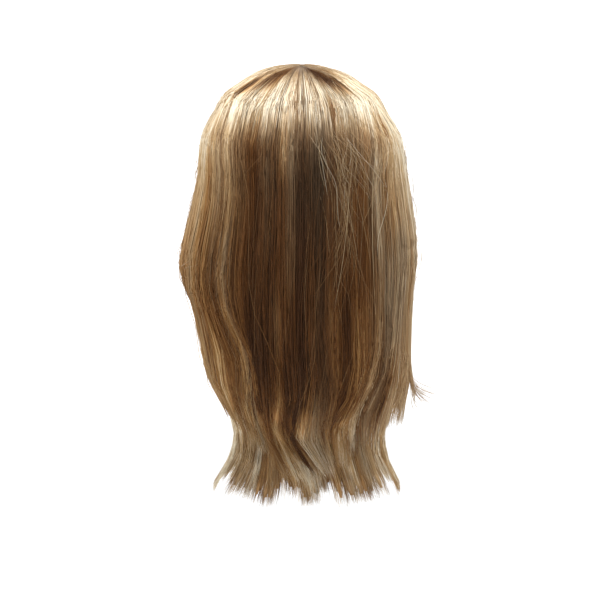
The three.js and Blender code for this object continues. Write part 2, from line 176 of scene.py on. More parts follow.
# %% [markdown]
# ## Where the hair lies
#
# A place in the hair has an azimuth, in degrees from the back towards the wearer's left, and a level: 0 at
# the whorl, 1 at the head's widest height and 2 at the longest tips. The sizes and short tables below are
# those of the CAD part, so each strand lies in the solid layer that it belongs to.

# %% Sizes of the part
MM = 0.001
HEAD_HALF_WIDTH, HEAD_HALF_DEPTH = 77.5 * MM, 97 * MM
CROWN_TO_WIDEST, WIDEST_TO_JAW, WIDEST_TO_TIPS = 95 * MM, 170 * MM, 297 * MM
WHORL_SETBACK = 12 * MM  # the whorl lies this far behind the head's middle
CAP_WALL, BAND_WALL, BAND_HEIGHT, BAND_GAP = 2 * MM, 2 * MM, 8 * MM, 0.3 * MM
SEAT, LAYER_GAP = 2.4 * MM, 1.4 * MM  # from the head to what is sewn on the cap, and between layers
LAYER_WALL, FRINGE_WALL = 8 * MM, 4 * MM  # a full layer's thickness
ROW_HALF_ANGLE, FRINGE_HALF_ANGLE = 124, 38  # from the middle of the back, and of the front
UPPER_ROOT_LEVEL, LOWER_ROOT_LEVEL, FRINGE_ROOT_LEVEL = 0.7, 0.94, 0.6
LEAD_LEVELS, FADE_LEVELS = 0.15, 0.15  # hair rises this far above the roots under it, and over this length
LEAD_ANGLE, FADE_ANGLE = 5, 10  # and the same beside the ends of a row
print("head, mm:", round(2 * HEAD_HALF_WIDTH / MM), "wide,", round(2 * HEAD_HALF_DEPTH / MM), "deep")

# %% [markdown]
# Tables of shares say how the wig's section changes from the whorl to the tips: the hollow inside it, how
# full each layer is at the left, right, back and front, and how far down the cap's edge lies.

# %% How the hollow and the layers change on their way down
def table(columns, *rows):
    """A short table whose columns are looked up by name."""
    return dict(zip(columns.split(), np.array(rows, float).T))


HOLLOW = table(
    "level left right back front",
    (1, 1, 1, 1, 1), (1.15, 1, 1, 0.985, 0.97), (1.26, 1.03, 1, 0.95, 0.93),
    (1.4, 0.99, 0.98, 0.92, 0.9), (1.5, 0.94, 0.975, 0.89, 0.88), (1.6, 0.94, 0.97, 0.86, 0.87),
    (1.72, 0.83, 0.96, 0.81, 0.85), (1.78, 0.73, 0.93, 0.75, 0.81), (1.85, 0.69, 0.89, 0.7, 0.77),
    (1.92, 0.82, 1, 0.73, 0.8), (2, 1.04, 1.18, 0.8, 0.88),
)
CROWN_FULLNESS = table(
    "level left right back front",
    (0, 1.2, 1.2, 1.2, 1.2), (0.26, 1.55, 1.4, 1.5, 1.5), (0.55, 1.6, 1.45, 1.6, 1.5),
    (0.7, 1.4, 1.3, 1.4, 1.3), (0.85, 1.1, 1.2, 1.25, 1), (1, 0.85, 1.2, 0.85, 0.8),
    (1.12, 1.5, 1.7, 1, 1), (1.26, 2.1, 1.8, 1.2, 1.3), (1.36, 2, 1.3, 1.2, 1.3),
    (1.48, 1, 1, 1.15, 1), (1.72, 1, 1, 1.1, 1), (2, 0.6, 0.6, 0.6, 0.6),
)
UPPER_FULLNESS = table(
    "level left right back front",
    (0.7, 0.35, 0.35, 0.35, 0.35), (1, 0.5, 0.5, 0.5, 0.5), (1.24, 0.8, 0.8, 0.8, 0.8),
    (1.5, 1, 1, 1, 0.9), (1.72, 1, 1, 1, 0.9), (2, 0.5, 0.5, 0.6, 0.5),
)
LOWER_FULLNESS = table(
    "level left right back front",
    (1, 0.45, 0.45, 0.45, 0.45), (1.24, 0.75, 0.75, 0.75, 0.7), (1.5, 1, 1, 1, 0.9),
    (1.82, 1, 1, 1, 0.9), (2, 0.5, 0.5, 0.5, 0.5),
)
FRINGE_FULLNESS = table(
    "level left right back front", (0.6, 0.6, 0.6, 0.6, 0.6), (1.1, 1, 1, 1, 1),
)
CAP_EDGE = table(
    "azimuth drop",
    (0, 1.56), (35, 1.48), (60, 1.27), (80, 1.04), (100, 1.12), (112, 1.2), (125, 1.02),
    (140, 0.84), (160, 0.68), (180, 0.63),
)
print("cap's edge, lowest at share:", CAP_EDGE["drop"].max())

# %% [markdown]
# Each layer ends in locks. A row of these tables is one lock: its width as a share of the layer's, the
# level of its tip, how far it sweeps aside before the tip, and how far it stands off the layers below.

# %% Locks of each layer
CROWN_LOCKS = table(
    "width tip sweep lift",
    (14, 1.04, 0, 0), (14, 1, 0, 0), (14, 1.07, 2, 0), (12, 1.4, 3, 0.3), (14, 1.54, 2, 0.4),
    (14, 1.64, 0, 0.3), (14, 1.73, -2, 2), (14, 1.82, 2, 0.2), (16, 1.8, 5, 0), (16, 1.86, 8, 0),
    (14, 1.92, 6, 0.2), (14, 1.87, -4, 0), (14, 1.93, -8, 0.2), (14, 1.88, -10, 0),
    (14, 1.94, -12, 0.2), (14, 1.85, -11, 0), (14, 1.78, -8, 0), (12, 1.68, -4, 0),
    (14, 1.53, -3, 0), (14, 1.49, -2, 0), (14, 1.47, 0, 0.1), (12, 1.48, 1, 0.2),
    (12, 1.38, -3, 0.3), (14, 1.06, -2, 0), (14, 1.01, 0, 0), (14, 1.06, 0, 0),
)
UPPER_LOCKS = table(
    "width tip sweep lift",
    (14, 1.76, 2, 0), (16, 1.78, 2, 0), (14, 1.83, 3, 0), (14, 1.84, 4, 0), (16, 1.8, 6, 0),
    (16, 1.87, 6, 0), (16, 1.93, 2, 0), (18, 1.89, -3, 0), (16, 1.95, -7, 0), (16, 1.9, -9, 0),
    (16, 1.86, -9, 0), (16, 1.8, -6, 0), (14, 1.77, -4, 0), (16, 1.78, -3, 0), (16, 1.77, -2, 0),
    (14, 1.74, -2, 0),
)
LOWER_LOCKS = table(
    "width tip sweep lift",
    (14, 1.9, -2, 0), (18, 1.97, -3, 0), (16, 2, -4, 0), (18, 1.95, -4, 0), (16, 1.99, -2, 0),
    (18, 2, 2, 0), (16, 1.96, 4, 0), (16, 2, -2, 0), (18, 1.97, -6, 0), (16, 2, -6, 0),
    (18, 1.98, -2, 0), (16, 1.95, 3, 0), (18, 2, 5, 0), (16, 1.96, 4, 0), (14, 1.9, 3, 0),
)
FRINGE_LOCKS = table(
    "width tip sweep lift",
    (12, 1.02, 0, 0), (14, 0.99, 0, 0), (12, 1.03, 0, 0), (12, 1, 0, 0), (14, 1.03, 0, 0),
    (12, 0.99, 0, 0),
)
print("longest lock ends at level", LOWER_LOCKS["tip"].max())

# %% [markdown]
# Down to level 1 a place lies on a stretched sphere, the head, and below that it hangs straight down. Then
# it moves outwards by its lift, which is what the layers under it take up. The functions take whole arrays,
# so that thousands of strands are worked out at once.

# %% From azimuth and level to a point
def smooth(t):
    """Rises from 0 to 1 with no corner at either end."""
    t = np.clip(t, 0, 1)
    return t * t * (3 - 2 * t)


def along(rows, key, x, column):
    """A smooth curve through one column of a table."""
    xs, ys = rows[key], rows[column]
    before = np.maximum(np.arange(len(xs)) - 1, 0)
    after = np.minimum(np.arange(len(xs)) + 1, len(xs) - 1)
    slope = (ys[after] - ys[before]) / (xs[after] - xs[before])
    x = np.clip(x, xs[0], xs[-1])
    i = np.clip(np.searchsorted(xs, x, "right") - 1, 0, len(xs) - 2)
    span = xs[i + 1] - xs[i]
    t = (x - xs[i]) / span
    line = ys[i] * (1 - smooth(t)) + ys[i + 1] * smooth(t)
    return line + span * t * (1 - t) * ((1 - t) * slope[i] - t * slope[i + 1])


def side_and_end(rows, azimuth, level):
    """A table's left or right value and its back or front value, whichever an azimuth faces."""
    turn = np.radians(azimuth)
    left, right, back, front = (along(rows, "level", level, column)
                                for column in ("left", "right", "back", "front"))
    return np.where(np.sin(turn) >= 0, left, right), np.where(np.cos(turn) >= 0, back, front)


def around(rows, azimuth, level):
    """A table's value at an azimuth, between its side and its end."""
    side, end = side_and_end(rows, azimuth, level)
    return side * np.sin(np.radians(azimuth)) ** 2 + end * np.cos(np.radians(azimuth)) ** 2


def outward(azimuth, level):
    """The direction straight out of the head."""
    turn, polar = np.radians(azimuth), np.minimum(level, 1) * np.pi / 2
    return np.stack([np.sin(polar) * np.sin(turn), np.sin(polar) * np.cos(turn), np.cos(polar)], -1)


def place(azimuth, level, side, end, lift):
    """A point of the head's form, with its sides and its ends scaled, moved outwards by a lift."""
    azimuth, level = np.broadcast_arrays(azimuth, level)
    out = outward(azimuth, level)
    x, y, z = np.moveaxis(out, -1, 0)
    hang = np.maximum(level - 1, 0) * WIDEST_TO_TIPS
    depth = HEAD_HALF_DEPTH * end * y - WHORL_SETBACK * np.hypot(x, y)
    on_form = np.stack([HEAD_HALF_WIDTH * side * x, depth, CROWN_TO_WIDEST * (z - 1) - hang], -1)
    return on_form + out * np.asarray(lift)[..., None]


def hair_place(azimuth, level, lift):
    """A point of the hair, out from the hollow inside the wig."""
    return place(azimuth, level, *side_and_end(HOLLOW, azimuth, level), lift)


def head_place(azimuth, level, lift):
    """A point on the cap, which narrows below the head's widest height as a head does."""
    below = np.maximum(level - 1, 0) * WIDEST_TO_TIPS
    share = np.sqrt(1 - (below / WIDEST_TO_JAW) ** 2)
    return place(azimuth, level, share, share, lift)


print("the whorl, mm:", (hair_place(0, 0, 0) / MM).round())

# %% [markdown]
# ## The layers
#
# Each layer lies on those beneath it and rises over them softly, as combed hair does. Two functions say this
# for each layer: how far its inner face lies off the hollow inside the wig, and how thick it is.

# %% How the layers lie on each other
def room(distance, lead, fade):
    """The share of a layer's thickness that there is near its edge, from 0 outside it to 1."""
    return smooth((distance + lead) / fade + 1)


def lies_under(from_root, from_end):
    """How much of a layer lies under a place, this many levels from its roots and degrees from its end."""
    return room(from_root, LEAD_LEVELS, FADE_LEVELS) * room(from_end, LEAD_ANGLE, FADE_ANGLE)


def row_share(root, azimuth, level):
    """How much of a row lies under a place."""
    return lies_under(level - root, ROW_HALF_ANGLE - np.abs(azimuth))


def fringe_share(azimuth, level):
    """How much of the fringe lies under a place."""
    return lies_under(level - FRINGE_ROOT_LEVEL, np.abs(azimuth) - 180 + FRINGE_HALF_ANGLE)


def crown_thickness(azimuth, level):
    """The crown hair's thickness. Near the whorl it is combed flat."""
    flat = 0.7 + 0.3 * smooth(level / 0.55)
    return LAYER_WALL * flat * around(CROWN_FULLNESS, azimuth, level)


def thickness_of(wall, fullness):
    """A layer's thickness at a place: a full wall times the table's share."""
    return lambda azimuth, level: wall * around(fullness, azimuth, level)


upper_thickness = thickness_of(LAYER_WALL, UPPER_FULLNESS)
lower_thickness = thickness_of(LAYER_WALL, LOWER_FULLNESS)
fringe_thickness = thickness_of(FRINGE_WALL, FRINGE_FULLNESS)


def on_cap(azimuth, level):
    """Where hair that is sewn to the cap lies: the lower row and the fringe."""
    return SEAT + 0 * level


def upper_lift(azimuth, level):
    """The upper row lies on the cap, and then on the lower row."""
    below = lower_thickness(azimuth, level) + LAYER_GAP
    return SEAT + row_share(LOWER_ROOT_LEVEL, azimuth, level) * below


def crown_lift(azimuth, level):
    """The crown hair lies on both rows, and in front on the fringe."""
    return (upper_lift(azimuth, level)
            + row_share(UPPER_ROOT_LEVEL, azimuth, level) * (upper_thickness(azimuth, level) + LAYER_GAP)
            + fringe_share(azimuth, level) * (fringe_thickness(azimuth, level) + LAYER_GAP))


print("behind the ear, mm: crown hair lies", (crown_lift(90, 1) / MM).round(1), "out and is",
      (crown_thickness(90, 1) / MM).round(1), "thick")

# %% [markdown]
# The four layers differ in how many clumps a lock falls into, how wide these are, how ragged and how
# gathered their tips, what share of the strands lies on the inner face, and how many levels longer than the
# solid the thinnest ends are. The turn gives each layer streaks of its own.

# %% The four layers
def layer(node, slot, locks, start, span, **falls):
    """A layer's CAD node, its locks and the azimuths they start at, and how its hair falls."""
    widths = locks["width"] * span / locks["width"].sum()
    starts = start + np.concatenate([[0], np.cumsum(widths)[:-1]])
    usual = dict(clumps_per_lock=2, inner_share=0.1, longer=0, ragged=1, gather=0.35, wide=1.1)
    given = dict(node=node, slot=slot, locks=locks, widths=widths, starts=starts, span=span)
    return given | usual | falls


ROW_SPAN = (-ROW_HALF_ANGLE, 2 * ROW_HALF_ANGLE)
FRINGE_SPAN = (180 - FRINGE_HALF_ANGLE, 2 * FRINGE_HALF_ANGLE)
CROWN = layer("crown_hair", "streaked_hair", CROWN_LOCKS, -180, 360, root=0, turn=0, lift=crown_lift,
              thickness=crown_thickness, inner_share=0.04, ragged=0.8, gather=0.28, wide=1.3)
UPPER = layer("upper_row", "straw_hair", UPPER_LOCKS, *ROW_SPAN, root=UPPER_ROOT_LEVEL, turn=50,
              lift=upper_lift, thickness=upper_thickness, ragged=0.7, wide=1.35)
LOWER = layer("lower_row", "golden_hair", LOWER_LOCKS, *ROW_SPAN, root=LOWER_ROOT_LEVEL, turn=100,
              lift=on_cap, thickness=lower_thickness, clumps_per_lock=4, inner_share=0.3, longer=0.025,
              ragged=0.4, gather=0.12, wide=1.7)
FRINGE = layer("fringe", "straw_hair", FRINGE_LOCKS, *FRINGE_SPAN, root=FRINGE_ROOT_LEVEL, turn=150,
               lift=on_cap, thickness=fringe_thickness)
LAYERS = (CROWN, UPPER, LOWER, FRINGE)
print("locks in each layer:", [len(each["starts"]) for each in LAYERS])

# %% [markdown]
# ## How the hair bends
#
# Whole areas of hair turn together on their way down. A table gives the places where they do, in azimuth
# and level, how wide and tall the place is, and how many degrees the hair moves aside there. The two rows at
# level 0.5 comb the crown sideways, and the others make the waves of the lower half.

# %% Turns
rng = np.random.default_rng(20)
BEND_PACE = 7  # radians of an uneven bend in one level
TURNS = table(
    "azimuth wide level tall shift",
    (-50, 14, 1.73, 0.11, 11), (-25, 11, 1.785, 0.1, 13), (-3, 10, 1.785, 0.11, 14), (13, 8, 1.79, 0.09, 8),
    (22, 7, 1.79, 0.1, 8), (42, 10, 1.55, 0.11, -10), (10, 15, 1.97, 0.08, -5), (72, 12, 1.72, 0.13, -4),
    (-38, 20, 0.5, 0.3, -14), (50, 22, 0.5, 0.3, 14),
)


def uneven(spacing, spread=1):
    """Places round the wig, unevenly spaced, with a random value at each, to be joined up by np.interp."""
    places = -200 + np.cumsum(rng.gamma(2, spacing / 2, int(560 / spacing)))
    return places, rng.normal(0, spread, len(places))


BEND_PHASES, BEND_SIZES = uneven(18, 2.5), uneven(14, 0.4)


def turned(azimuth, level):
    """How far an area's hair has turned aside at a level, in degrees. Neighbours bend much alike."""
    beside = (azimuth + 180) % 360 - 180
    size = 1 + np.interp(beside, *BEND_SIZES)
    shift = size * np.sin(BEND_PACE * level + np.interp(beside, *BEND_PHASES)) * smooth(level - 0.8)
    for place_at, wide, height, tall, most in zip(*TURNS.values()):
        shift = shift + most * np.exp(-((beside - place_at) / wide) ** 2 - ((level - height) / tall) ** 2)
    return shift


print("hair at azimuth -24 has turned, at level 1.8, by degrees:", turned(-24, 1.8).round(1))

# %% [markdown]
# Each lock falls into clumps, a finger's breadth wide, that overlap and bend a little on their own. Random
# draws with a fixed seed make them differ, the same in every run. A clump's depth is the share of its layer
# that it fills, its inset is where its inner face lies in there, and its own bend is in degrees.

# %% Clumps
NOTCH = 22 * MM / WIDEST_TO_TIPS  # clumps end up to this many levels above their lock's tip


def clumps_of(which):
    """Every clump of a layer, lock by lock: its middle azimuth, half its width, its tip and its bends."""
    locks, count, split = which["locks"], len(which["starts"]), which["clumps_per_lock"]
    lock = np.repeat(np.arange(count), split)
    across = (np.tile(np.arange(split), count) + 0.5) / split + rng.uniform(-0.16, 0.16, len(lock)) / split
    azimuth = which["starts"][lock] + which["widths"][lock] * across
    middles = which["starts"] + which["widths"] / 2
    period = 360 if which["span"] == 360 else None
    return dict(
        azimuth=azimuth,
        half=which["wide"] * which["widths"][lock] / split * rng.uniform(0.75, 1.25, len(lock)),
        tip=locks["tip"][lock] + which["longer"]
        - which["ragged"] * NOTCH * rng.uniform(0, 1, len(lock)) ** 2,
        sweep=np.interp(azimuth, middles, locks["sweep"], period=period)
        + rng.normal(0, 1.2, len(lock)),
        lift=np.interp(azimuth, middles, locks["lift"], period=period),
        depth=rng.uniform(0.88, 1.06, len(lock)),
        inset=rng.uniform(0.04, 0.3, len(lock)),
        bend=rng.uniform(0.3, 1.2, len(lock)),
        pace=rng.uniform(5, 10, len(lock)),
        phase=rng.uniform(0, 2 * np.pi, len(lock)),
        pale=rng.normal(0, 0.035, len(lock)),
        golden=rng.normal(0, 0.1, len(lock)),
    )


for each in LAYERS:
    each["clumps"] = clumps_of(each)
print("clumps in each layer:", [len(each["clumps"]["tip"]) for each in LAYERS])

# %% [markdown]
# A strand needs only its clump, its place across it, its levels and its depth in the layer, to become
# points. A clump gathers as it nears its tip, bends with its area and by itself, sweeps aside like its lock,
# and thins out to the tip. Its sides are thinner than its middle.

# %% From a clump to points
TIP_TAPER = 52 * MM / WIDEST_TO_TIPS
SWEEP_LEVELS = 120 * MM / WIDEST_TO_TIPS
THINNEST = 1.2 * MM


def hang(which, clump, across, level, depth, sway=0):
    """Azimuth before turning, and point. Across goes from -1 to 1, and depth from 0 inside to 1."""
    own = {key: values[clump] for key, values in which["clumps"].items()}
    from_tip = level - own["tip"]
    gathered = 1 - 0.15 * smooth(from_tip / 0.4 + 1) - which["gather"] * smooth(from_tip / 0.1 + 1)
    base = own["azimuth"] + own["half"] * across
    azimuth = (own["azimuth"] + own["half"] * (across * gathered + sway) + turned(base, level)
               + own["bend"] * np.sin(own["pace"] * level + own["phase"]) * smooth((level - 0.7) / 1.1)
               + own["sweep"] * smooth(from_tip / SWEEP_LEVELS + 1))
    azimuth = (azimuth + 180) % 360 - 180
    full = which["thickness"](azimuth, level) * own["depth"]
    reach = smooth(-from_tip / TIP_TAPER)
    stand = full * own["lift"] * (1 - reach) ** 2
    crowned = 1 - 0.5 * smooth(level - 0.2) * across ** 2
    wall = np.maximum(full * crowned * reach, THINNEST)
    return base, hair_place(azimuth, level, which["lift"](azimuth, level) + stand + wall * depth)


back_clump = np.array([len(CROWN["clumps"]["tip"]) // 2])
print("a tip at the back, mm:", (hang(CROWN, back_clump, 0, 1.9, 1)[1][0] / MM).round())

# %% [markdown]
# ## Colour of the hair
#
# Blond wig fibre is a blend: cream, straw and tan fibres over brown ones. Each strand carries its place in
# that blend in its UV map, which goes from dark to pale to the right, and from ashy to golden upwards. The
# material only looks the colour up there.

# %% Hair colour
TONE_MAP = "OFBake"
FACTOR, FIRST, SECOND, MIXED = 0, 6, 7, 2  # the Mix node's sockets for colours
ASHY = ((0, (0.026, 0.014, 0.007)), (0.3, (0.108, 0.067, 0.037)), (0.55, (0.268, 0.184, 0.110)),
        (0.78, (0.54, 0.41, 0.26)), (1, (0.93, 0.87, 0.72)))
GOLDEN = ((0, (0.040, 0.012, 0.004)), (0.3, (0.170, 0.064, 0.016)), (0.55, (0.40, 0.205, 0.070)),
          (0.78, (0.68, 0.46, 0.22)), (1, (0.95, 0.86, 0.66)))


def colour_ramp(nodes, stops):
    """A colour ramp with these stops, each a position and a colour."""
    ramp = nodes.new("ShaderNodeValToRGB")
    ramp.color_ramp.elements[0].position = stops[0][0]
    ramp.color_ramp.elements[1].position = stops[-1][0]
    for position, _ in stops[1:-1]:
        ramp.color_ramp.elements.new(position)
    for element, (_, colour) in zip(ramp.color_ramp.elements, stops):
        element.color = (*colour, 1)
    return ramp


def hair_blend_group():
    """Looks the hair's colour up: how pale it is, and how golden."""
    group = bpy.data.node_groups.new("hair_blend", "ShaderNodeTree")
    for name in ("Pale", "Golden"):
        group.interface.new_socket(name, in_out="INPUT", socket_type="NodeSocketFloat")
    group.interface.new_socket("Color", in_out="OUTPUT", socket_type="NodeSocketColor")
    nodes, links = group.nodes, group.links
    given, result = nodes.new("NodeGroupInput"), nodes.new("NodeGroupOutput")
    mix = nodes.new("ShaderNodeMix")
    mix.data_type = "RGBA"
    for stops, socket in ((ASHY, FIRST), (GOLDEN, SECOND)):
        ramp = colour_ramp(nodes, stops)
        links.new(given.outputs["Pale"], ramp.inputs["Fac"])
        links.new(ramp.outputs["Color"], mix.inputs[socket])
    links.new(given.outputs["Golden"], mix.inputs[FACTOR])
    links.new(mix.outputs[MIXED], result.inputs["Color"])
    return group


HAIR_BLEND = hair_blend_group()
print("hair_blend:", len(HAIR_BLEND.nodes), "nodes")

# %% [markdown]
# The hair's shader is plain: the looked-up colour, a fairly smooth surface, and a weak gleam, warm because
# a blond fibre tints the light that leaves it. Strands gleam more than the locks below.

# %% Hair finishes
def hair_material(name, roughness):
    """A finish whose colour comes from the hair's own map."""
    material, nodes, links, shader = new_material(name, roughness)
    uv = nodes.new("ShaderNodeUVMap")
    uv.uv_map = TONE_MAP
    parts = nodes.new("ShaderNodeSeparateXYZ")
    blend = nodes.new("ShaderNodeGroup")
    blend.node_tree = HAIR_BLEND
    links.new(uv.outputs["UV"], parts.inputs["Vector"])
    links.new(parts.outputs["X"], blend.inputs["Pale"])
    links.new(parts.outputs["Y"], blend.inputs["Golden"])
    links.new(blend.outputs["Color"], shader.inputs["Base Color"])
    shader.inputs["Specular IOR Level"].default_value = 0.3
    shader.inputs["Specular Tint"].default_value = (1, 0.82, 0.6, 1)
    return material


STRAND_FINISH = hair_material("silky_fibre", 0.34)
LOCK_FINISH = hair_material("inner_fibre", 0.55)
print("finishes:", STRAND_FINISH.name, LOCK_FINISH.name)

# %% [markdown]
# ## Where the hair is pale or dark
#
# The crown is a mix of cream and tan, and the back below it is brown with ashy streaks. Both are partly
# painted light: the crown's pale rows are partly the painted highlight of its arch, and the back's dark
# brown below the arch is partly painted shade. The wearer's left side is golden, the right side ashy, and
# the ends go pale again. Two tables give these areas, and a third gives the streaks that a glance picks out,
# with painted
# light among them: the brown wedge and band by the whorl, which are painted shade, the taupe lines, the gold
# strand, the dark lines between the locks near the ends, which are painted shade between the locks, and pale
# patches in the arch, which are painted highlight.

# %% Areas and streaks of colour, with painted shade and highlights
# painted light: the back column's drop below level 0.65 is partly painted shade under the gleaming arch, and
# the pale crown rows above it are partly painted highlight
PALENESS_WITH_PAINTED_LIGHT = table(
    "level left right back front",
    (0, 0.66, 0.66, 0.62, 0.58), (0.2, 0.78, 0.78, 0.64, 0.6), (0.36, 0.82, 0.82, 0.66, 0.6),
    (0.65, 0.8, 0.78, 0.65, 0.6), (0.72, 0.9, 0.87, 0.39, 0.58), (0.85, 0.94, 0.88, 0.27, 0.58),
    (1, 0.84, 0.8, 0.18, 0.56), (1.4, 0.6, 0.61, 0.16, 0.54), (1.64, 0.72, 0.58, 0.2, 0.54),
    (1.76, 0.82, 0.64, 0.42, 0.56), (1.86, 0.84, 0.7, 0.6, 0.6), (2, 0.84, 0.76, 0.68, 0.64),
)
GOLD = table(
    "level left right back front",
    (0, 0.4, 0.35, 0.25, 0.5), (0.6, 0.4, 0.35, 0.25, 0.5), (1.2, 0.7, 0.3, 0.85, 0.5),
    (1.7, 0.75, 0.3, 1.15, 0.5), (1.85, 0.5, 0.5, 0.85, 0.5), (2, 0.45, 0.5, 0.6, 0.45),
)
SHINE_LEVELS, SHINE_HALF_ANGLE, SHINE_PALE = (0.24, 0.68), 95, 0.29
DULL_SHARE, DULL_DARKER = 0.15, 1.2  # this share of the strands stays dull, and darker by this many gleams
# Painted light: the dark rows by the whorl, the brown wedge and band, are painted shade; the pale rows in
# the arch at levels 0.4 to 0.7 are painted highlight; the dark rows between the locks near the ends are
# painted shade. The other rows are streaks of the hair.
STREAKS_AND_PAINTED_LIGHT = table(
    "azimuth wide top bottom pale golden",
    (25, 9, 0.08, 0.28, -0.3, 0.6), (34, 11, 0.16, 0.44, -0.44, 0.6), (46, 10, 0.3, 0.56, -0.52, 0.6),
    (-17, 8, 0.05, 0.24, -0.34, 0.8), (-25, 9, 0.12, 0.4, -0.54, 0.8), (-34, 8, 0.26, 0.5, -0.5, 0.8),
    (-7, 3, 0.24, 0.42, -0.2, 0.6), (-12, 3, 0.34, 0.54, -0.24, 0.7), (-17, 3.5, 0.46, 0.72, -0.26, 0.7),
    (-64, 9, 0.4, 0.66, 0.25, -0.2), (-39, 11, 0.46, 0.7, 0.25, -0.1), (-60, 3, 0.56, 0.85, -0.3, 0.6),
    (5, 12, 0.66, 0.98, 0.06, 0.1), (32, 6, 0.68, 0.95, -0.08, 0.1), (23, 5, 0.72, 1.7, -0.14, 0.35),
    (9.5, 1.5, 0.7, 0.98, 0.3, 0), (19, 3, 0.8, 1.3, 0.12, -0.3), (5, 3.5, 0.66, 1.4, 0.22, -0.5),
    (-6, 6, 0.72, 1.2, -0.06, -0.3), (-16, 5, 0.7, 1.35, -0.05, 0.3), (-20, 6, 1.15, 1.6, 0, 0.35),
    (-33, 6, 0.9, 1.4, -0.07, 0.5), (-45, 4, 0.8, 1.3, 0.16, -0.5), (-57, 7, 0.7, 1.1, 0.1, -0.1),
    (-60, 9, 1.1, 1.6, 0.06, -0.6), (62, 3.5, 0.8, 1.25, -0.22, 0.6), (52, 5, 0.75, 1.2, 0.1, -0.1),
    (84, 8, 0.8, 1.4, -0.06, 0.4), (78, 12, 0.75, 1.5, 0, -0.2), (-78, 10, 0.75, 1.35, 0, -0.25),
    (64, 3, 1.44, 1.7, -0.12, -0.2), (55, 2, 1.44, 1.76, 0.3, -0.1), (47, 7, 1.3, 1.72, 0, 0.4),
    (40, 2.5, 1.1, 1.98, 0, -0.7), (46, 4, 1.6, 1.82, -0.1, 0.5), (33, 4, 1.76, 2.02, 0.12, 0),
    (29, 6, 1.4, 1.76, -0.18, 0.5), (18.3, 2.2, 1.4, 2, -0.2, 0.4), (13.7, 1.6, 1.56, 2, 0.34, 0.4),
    (12, 3, 1.3, 1.6, 0.16, -0.4), (8.5, 2.2, 1.5, 1.86, -0.2, 0.4), (8.5, 4, 1.82, 2.05, 0.14, 0.6),
    (0.3, 1.4, 1.64, 1.92, -0.3, 0.5), (-3.6, 2, 1.66, 2.05, 0.36, 0), (-9, 3.5, 1.62, 2.05, 0.2, -0.4),
    (-13.5, 2.2, 1.76, 2.05, 0.3, -0.1), (-18.5, 2, 1.3, 1.7, 0.16, 0.4), (-24, 2.6, 1.3, 2, -0.32, 0.6),
    (-24, 5, 1.62, 1.86, -0.2, 0.4), (-29.5, 1.3, 1.6, 1.96, -0.3, 0.5), (-33, 5, 1.3, 1.66, 0.09, 0.3),
    (-36, 4, 1.66, 2.05, 0.16, -0.1), (-50, 4.5, 1.2, 2.02, 0.22, -0.5), (-58, 2.5, 1.58, 1.78, -0.3, 0.3),
    (-72, 7, 1.62, 1.86, 0.08, -0.1), (56, 8, 1.8, 2.05, 0.12, -0.1), (-85, 4, 1.62, 1.8, -0.15, 0.2),
)
print("streaks:", len(STREAKS_AND_PAINTED_LIGHT["azimuth"]))

# %% [markdown]
# The tone of a place is its area's, with the table's streaks, painted shade and painted highlights, and
# three sets of uneven streaks on top, the fine ones strongest on the crown. The arch in which the crown
# gleams is painted as paler tone, a painted highlight, and not left to the lamps, because the exported
# model keeps tones and loses the lamps.

# %% Tone and gleam
FINE_STREAKS, BROAD_STREAKS, GOLDEN_STREAKS = uneven(1.6), uneven(6), uneven(4)
BROAD_PALE, GOLDEN_MORE = 0.04, 0.15  # how strong the broad and the golden uneven streaks are
STREAK_START, STREAK_END = 0.08, 0.12  # a streak fades in and out over this many levels
SHINE_FROM, SHINE_TO, SHINE_SIDE = 0.12, 0.05, 30  # and the gleam over these, and over degrees at its sides
MAP_MARGIN = 0.03


def tone(azimuth, level, layer_turn):
    """Where hair lies in the colour map. Each layer turns the uneven streaks its own way."""
    azimuth = (azimuth + 180) % 360 - 180
    turned_by = (azimuth + layer_turn + 180) % 360 - 180
    pale = around(PALENESS_WITH_PAINTED_LIGHT, azimuth, level) + BROAD_PALE * np.interp(turned_by, *BROAD_STREAKS)
    fine = (0.03 + 0.09 * smooth(level / 0.36)) * (1 - 0.58 * smooth((level - 0.4) / 0.5))
    pale = pale + fine * np.interp(turned_by, *FINE_STREAKS)
    golden = around(GOLD, azimuth, level) + GOLDEN_MORE * np.interp(turned_by, *GOLDEN_STREAKS)
    # each row adds a streak of the hair, painted shade or a painted highlight
    for middle, wide, top, bottom, more_pale, more_golden in zip(*STREAKS_AND_PAINTED_LIGHT.values()):
        near = (np.exp(-((azimuth - middle) / wide) ** 2)
                * smooth((level - top) / STREAK_START) * smooth((bottom - level) / STREAK_END))
        pale, golden = pale + more_pale * near, golden + more_golden * near
    return pale, golden


def shine(azimuth, level, jitter):
    """The arch across the crown in which the fibres gleam."""
    azimuth = (azimuth + 180) % 360 - 180
    top, bottom = SHINE_LEVELS
    return (smooth((level - top - jitter) / SHINE_FROM) * smooth((bottom + jitter - level) / SHINE_TO)
            * smooth((SHINE_HALF_ANGLE - np.abs(azimuth)) / SHINE_SIDE))


def in_map(pale, golden):
    """Keeps tones off the map's edges."""
    return np.clip(pale, MAP_MARGIN, 1 - MAP_MARGIN), np.clip(golden, MAP_MARGIN, 1 - MAP_MARGIN)


print("tone at the middle of the back:", [round(float(t), 2) for t in tone(0, 1.2, 0)])

# %% [markdown]
# ## Locks
#
# Under the strands each clump has a body, so that no light comes through the wig. Its tone is painted
# darker than the strands', as painted shade where it shows between them. It is a slab: a flat grid
# extruded once, whose points are then moved to their places across, down and out through the clump.

# %% Clump bodies
BODY_COLUMNS, BODY_STEP = 4, 0.05
BODY_TOP = 0.03  # the crown's bodies start this many levels from the whorl
BODY_SHARE = 0.8  # the body fills this much of the layer's thickness
BODY_SHORTER = 0.07  # the body ends this many levels above the clump's tip
# the body's tone is this much darker: painted shade between the strands
BODY_PAINTED_SHADE = 0.12


